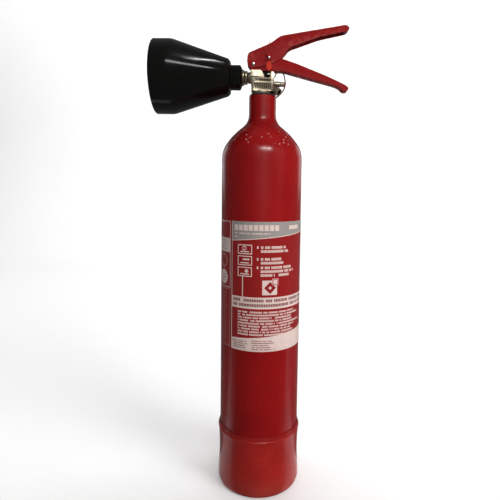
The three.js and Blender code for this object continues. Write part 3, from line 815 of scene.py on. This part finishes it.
def make_spring():
    """Five turns between the inlet adapter and the poppet."""
    turns, low, rise, coil_r, wire_r, stroke = 5, 476.1, 15.6, 4.4, 0.6, 3.0
    steps = 24 * turns
    way = []
    for i in range(steps + 1):
        turn = 2 * math.pi * turns * i / steps
        way.append((coil_r * math.cos(turn), coil_r * math.sin(turn), low + rise * i / steps))
    spring = place(tube("return_spring_wound", way, wire_r, 10), "return_spring")
    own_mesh(spring)


def make_ring():
    low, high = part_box("pull_ring")
    centre = middle("pull_ring") / MM
    wire = (high.y - low.y) / 2 / MM
    radius = (high.x - low.x) / 2 / MM - wire
    turns = [2 * math.pi * i / 96 for i in range(96)]
    path = [(centre.x + radius * math.cos(a), centre.y, centre.z + radius * math.sin(a)) for a in turns]
    place(tube("pull_ring_wire", path, wire, 20, closed=True), "pull_ring")


# The leash: from its anchor on the valve, round behind, and through the pull ring.
LEASH = [
    (2.5, 19.4, 507.2), (4.4, 19.8, 502.8), (8.6, 18.4, 500), (13.8, 14.4, 499.4), (18.8, 10, 501),
    (23.3, 7.6, 504.5), (26.7, 7, 509.2), (28.2, 7, 513.2), (28.8, 7, 518), (27.8, 7.5, 524.4),
    (26.2, 8.5, 529.6), (22.4, 10, 532.4), (16.5, 12.3, 533.4), (10.7, 15, 535.5), (7.6, 16, 538.1),
]
LEASH_R = 0.8


def make_leash():
    path = spline(LEASH, 8)
    leash = tube("leash_braid", path, LEASH_R, 16)
    leash.data.materials.append(FINISHES["leash_cord"])
    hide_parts("leash")
    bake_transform(leash)


make_cylinder()
make_boot()
make_label("label_main")
make_label("label_side")
make_horn()
make_rivet()
make_seal()
make_spring()
make_ring()
make_leash()
BEVELS = {
    "valve_body": 0.45, "carry_handle": 0.55, "operating_lever": 0.55, "lever_pusher": 0.5,
    "safety_pin": 0.35, "rivet_washer": 0.2, "handle_screw": 0.3, "gland_nut": 0.4, "side_port_plug": 0.35,
    "burst_disc_plug": 0.4, "stem": 0.2, "leash_anchor": 0.4, "neck_seal_ring": 0.3, "outlet_nipple": 0.2,
}
for node, width in BEVELS.items():
    place(refined(node + "_finished", node, width), node)
for node, obj in NODES.items():
    obj.data.materials.clear()
    obj.data.materials.append(FINISHES[SLOT_OF[node]])


# ---- studio ----
STAGE_WIDTH, STAGE_FRONT, STAGE_BACK, STAGE_HIGH, STAGE_BEND = 3.6, -1.0, 2.2, 4.0, 0.8
NEAR_FRONT, NEAR_BACK = -0.045, 0.03
FLOOR_DROP = 0.05


def stage_sheet(name, line, material, bounces, shines):
    """A wide sheet along a line of (y, z). bounces: it lights the object. shines: the object reflects it."""
    verts = [(side * STAGE_WIDTH / 2 / MM, y / MM, z / MM - FLOOR_DROP) for y, z in line for side in (-1, 1)]
    faces = [(2 * i, 2 * i + 1, 2 * i + 3, 2 * i + 2) for i in range(len(line) - 1)]
    sheet = mesh_from(name, verts, faces, 80)
    sheet.data.materials.append(material)
    sheet.visible_diffuse = bounces
    sheet.visible_glossy = shines


def make_stage():
    paper = Finish("stage_paper")
    tone = paper.noise(3, 2)
    paper.set(Base_Color=paper.mix(tone, (0.88, 0.88, 0.88), (0.91, 0.91, 0.91)), Roughness=0.9,
              Specular_IOR_Level=0.1)
    bend = [(STAGE_BACK - STAGE_BEND + STAGE_BEND * math.sin(a), STAGE_BEND - STAGE_BEND * math.cos(a))
            for a in (math.pi / 2 * i / 24 for i in range(25))]
    stage_sheet("stage_front", [(STAGE_FRONT, 0), (NEAR_FRONT, 0)], paper.material, False, False)
    stage_sheet("stage_near", [(NEAR_FRONT, 0), (NEAR_BACK, 0)], paper.material, True, True)
    stage_sheet("stage_back", [(NEAR_BACK, 0), *bend, (STAGE_BACK, STAGE_HIGH)], paper.material, True, False)
    # a pale room far beyond the floor, seen only by the camera
    room = Finish("room")
    room.set(Base_Color=(0, 0, 0), Emission_Color=(1, 1, 1), Emission_Strength=1.0)
    far = [(0, -1000), (9000, -1000), (9000, 6000), (0, 6000)]
    shell = lathe("room_shell", far, segments=48)
    shell.data.materials.append(room.material)
    for kind in ("diffuse", "glossy", "transmission", "shadow"):
        setattr(shell, "visible_" + kind, False)


def area(name, spot, aim, size, power, along=(1, 0, 0), diffuse=True, glossy=True):
    """A rectangular light at spot, facing aim, its width along the given direction."""
    data = bpy.data.lights.new(name, "AREA")
    data.shape = "RECTANGLE"
    data.size, data.size_y = size
    data.energy = power
    back = (Vector(spot) - Vector(aim)).normalized()
    side = Vector(along)
    side = (side - back * side.dot(back)).normalized()
    light = bpy.data.objects.new(name, data)
    turn = Matrix((side, back.cross(side), back)).transposed().to_4x4()
    light.matrix_world = Matrix.Translation(spot) @ turn
    light.visible_diffuse = diffuse
    light.visible_glossy = glossy
    bpy.context.scene.collection.objects.link(light)
    return light


METALS = (
    "valve_body_finished", "side_port_plug_finished", "burst_disc_plug_finished", "gland_nut_finished",
    "lock_ring_turned", "socket_ring", "pull_ring_wire", "rivet_washer_finished", "leash_anchor_finished",
)
SHINY = ("cylinder_shell", "boot_shell", "pivot_rivet_set", "safety_pin_finished")
HORN = ("horn_shell",)
BLACK = (*HORN, "collar_ring")
BODY_AIM, HEAD_AIM = (0, 0, 0.3), (0, 0, 0.45)
PANEL_SPOT, PANEL_SIZE = (0.3, -2.3, 0.8), (1.8, 1.2)
STRIP_SPOT, STRIP_SIZE = (0.31, -1.35, 1.45), (0.82, 0.1)


def shine(name, spot, aim, size, power, pieces, along=(1, 0, 0)):
    """A light that is only reflected, and only in these pieces."""
    light = area(name, spot, aim, size, power, along, diffuse=False)
    light.light_linking.receiver_collection = bpy.data.collections.new(name + "_receivers")
    for piece in pieces:
        light.light_linking.receiver_collection.objects.link(bpy.data.objects[piece])


def make_lights():
    world = bpy.data.worlds.new("studio")
    bpy.context.scene.world = world
    world.use_nodes = True
    background = world.node_tree.nodes["Background"]
    background.inputs["Color"].default_value = (1, 1, 1, 1)
    background.inputs["Strength"].default_value = 0.16
    area("key", (2.0, -1.5, 1.2), BODY_AIM, (1.3, 1.6), 64, glossy=False)
    area("front", PANEL_SPOT, BODY_AIM, (1.6, 1.0), 30, glossy=False)
    not_black = [obj.name for obj in bpy.data.objects if obj.type == "MESH" and obj.name not in BLACK]
    shine("front_shine", PANEL_SPOT, BODY_AIM, PANEL_SIZE, 2.8, not_black)
    for name, x in (("side_left", -1.2), ("side_right", 1.2)):
        area(name, (x, 1.4, 0.75), (0, 0, 0.35), (0.8, 0.8), 3, diffuse=False)
    shine("strip_front", STRIP_SPOT, HEAD_AIM, STRIP_SIZE, 36, SHINY)
    shine("horn_strip", STRIP_SPOT, HEAD_AIM, STRIP_SIZE, 6, HORN)
    shine("strip_top", (0.26, -0.36, 1.5), (-0.08, -0.03, 0.53), (0.5, 0.03), 2.6, HORN, (0.1, 1, 0))
    shine("metal_strip", STRIP_SPOT, HEAD_AIM, STRIP_SIZE, 12, METALS)
    shine("metal_front", PANEL_SPOT, BODY_AIM, PANEL_SIZE, 5, METALS)
    shine("metal_back", (-0.3, 2.0, 1.0), (0, 0, 0.5), (1.6, 1.0), 10, METALS)
    area("backdrop", (0.0, 0.5, 2.7), (0, 2.2, 0.9), (4.0, 0.8), 66, glossy=False)
    bpy.context.scene.view_settings.view_transform = "Standard"


make_stage()
make_lights()
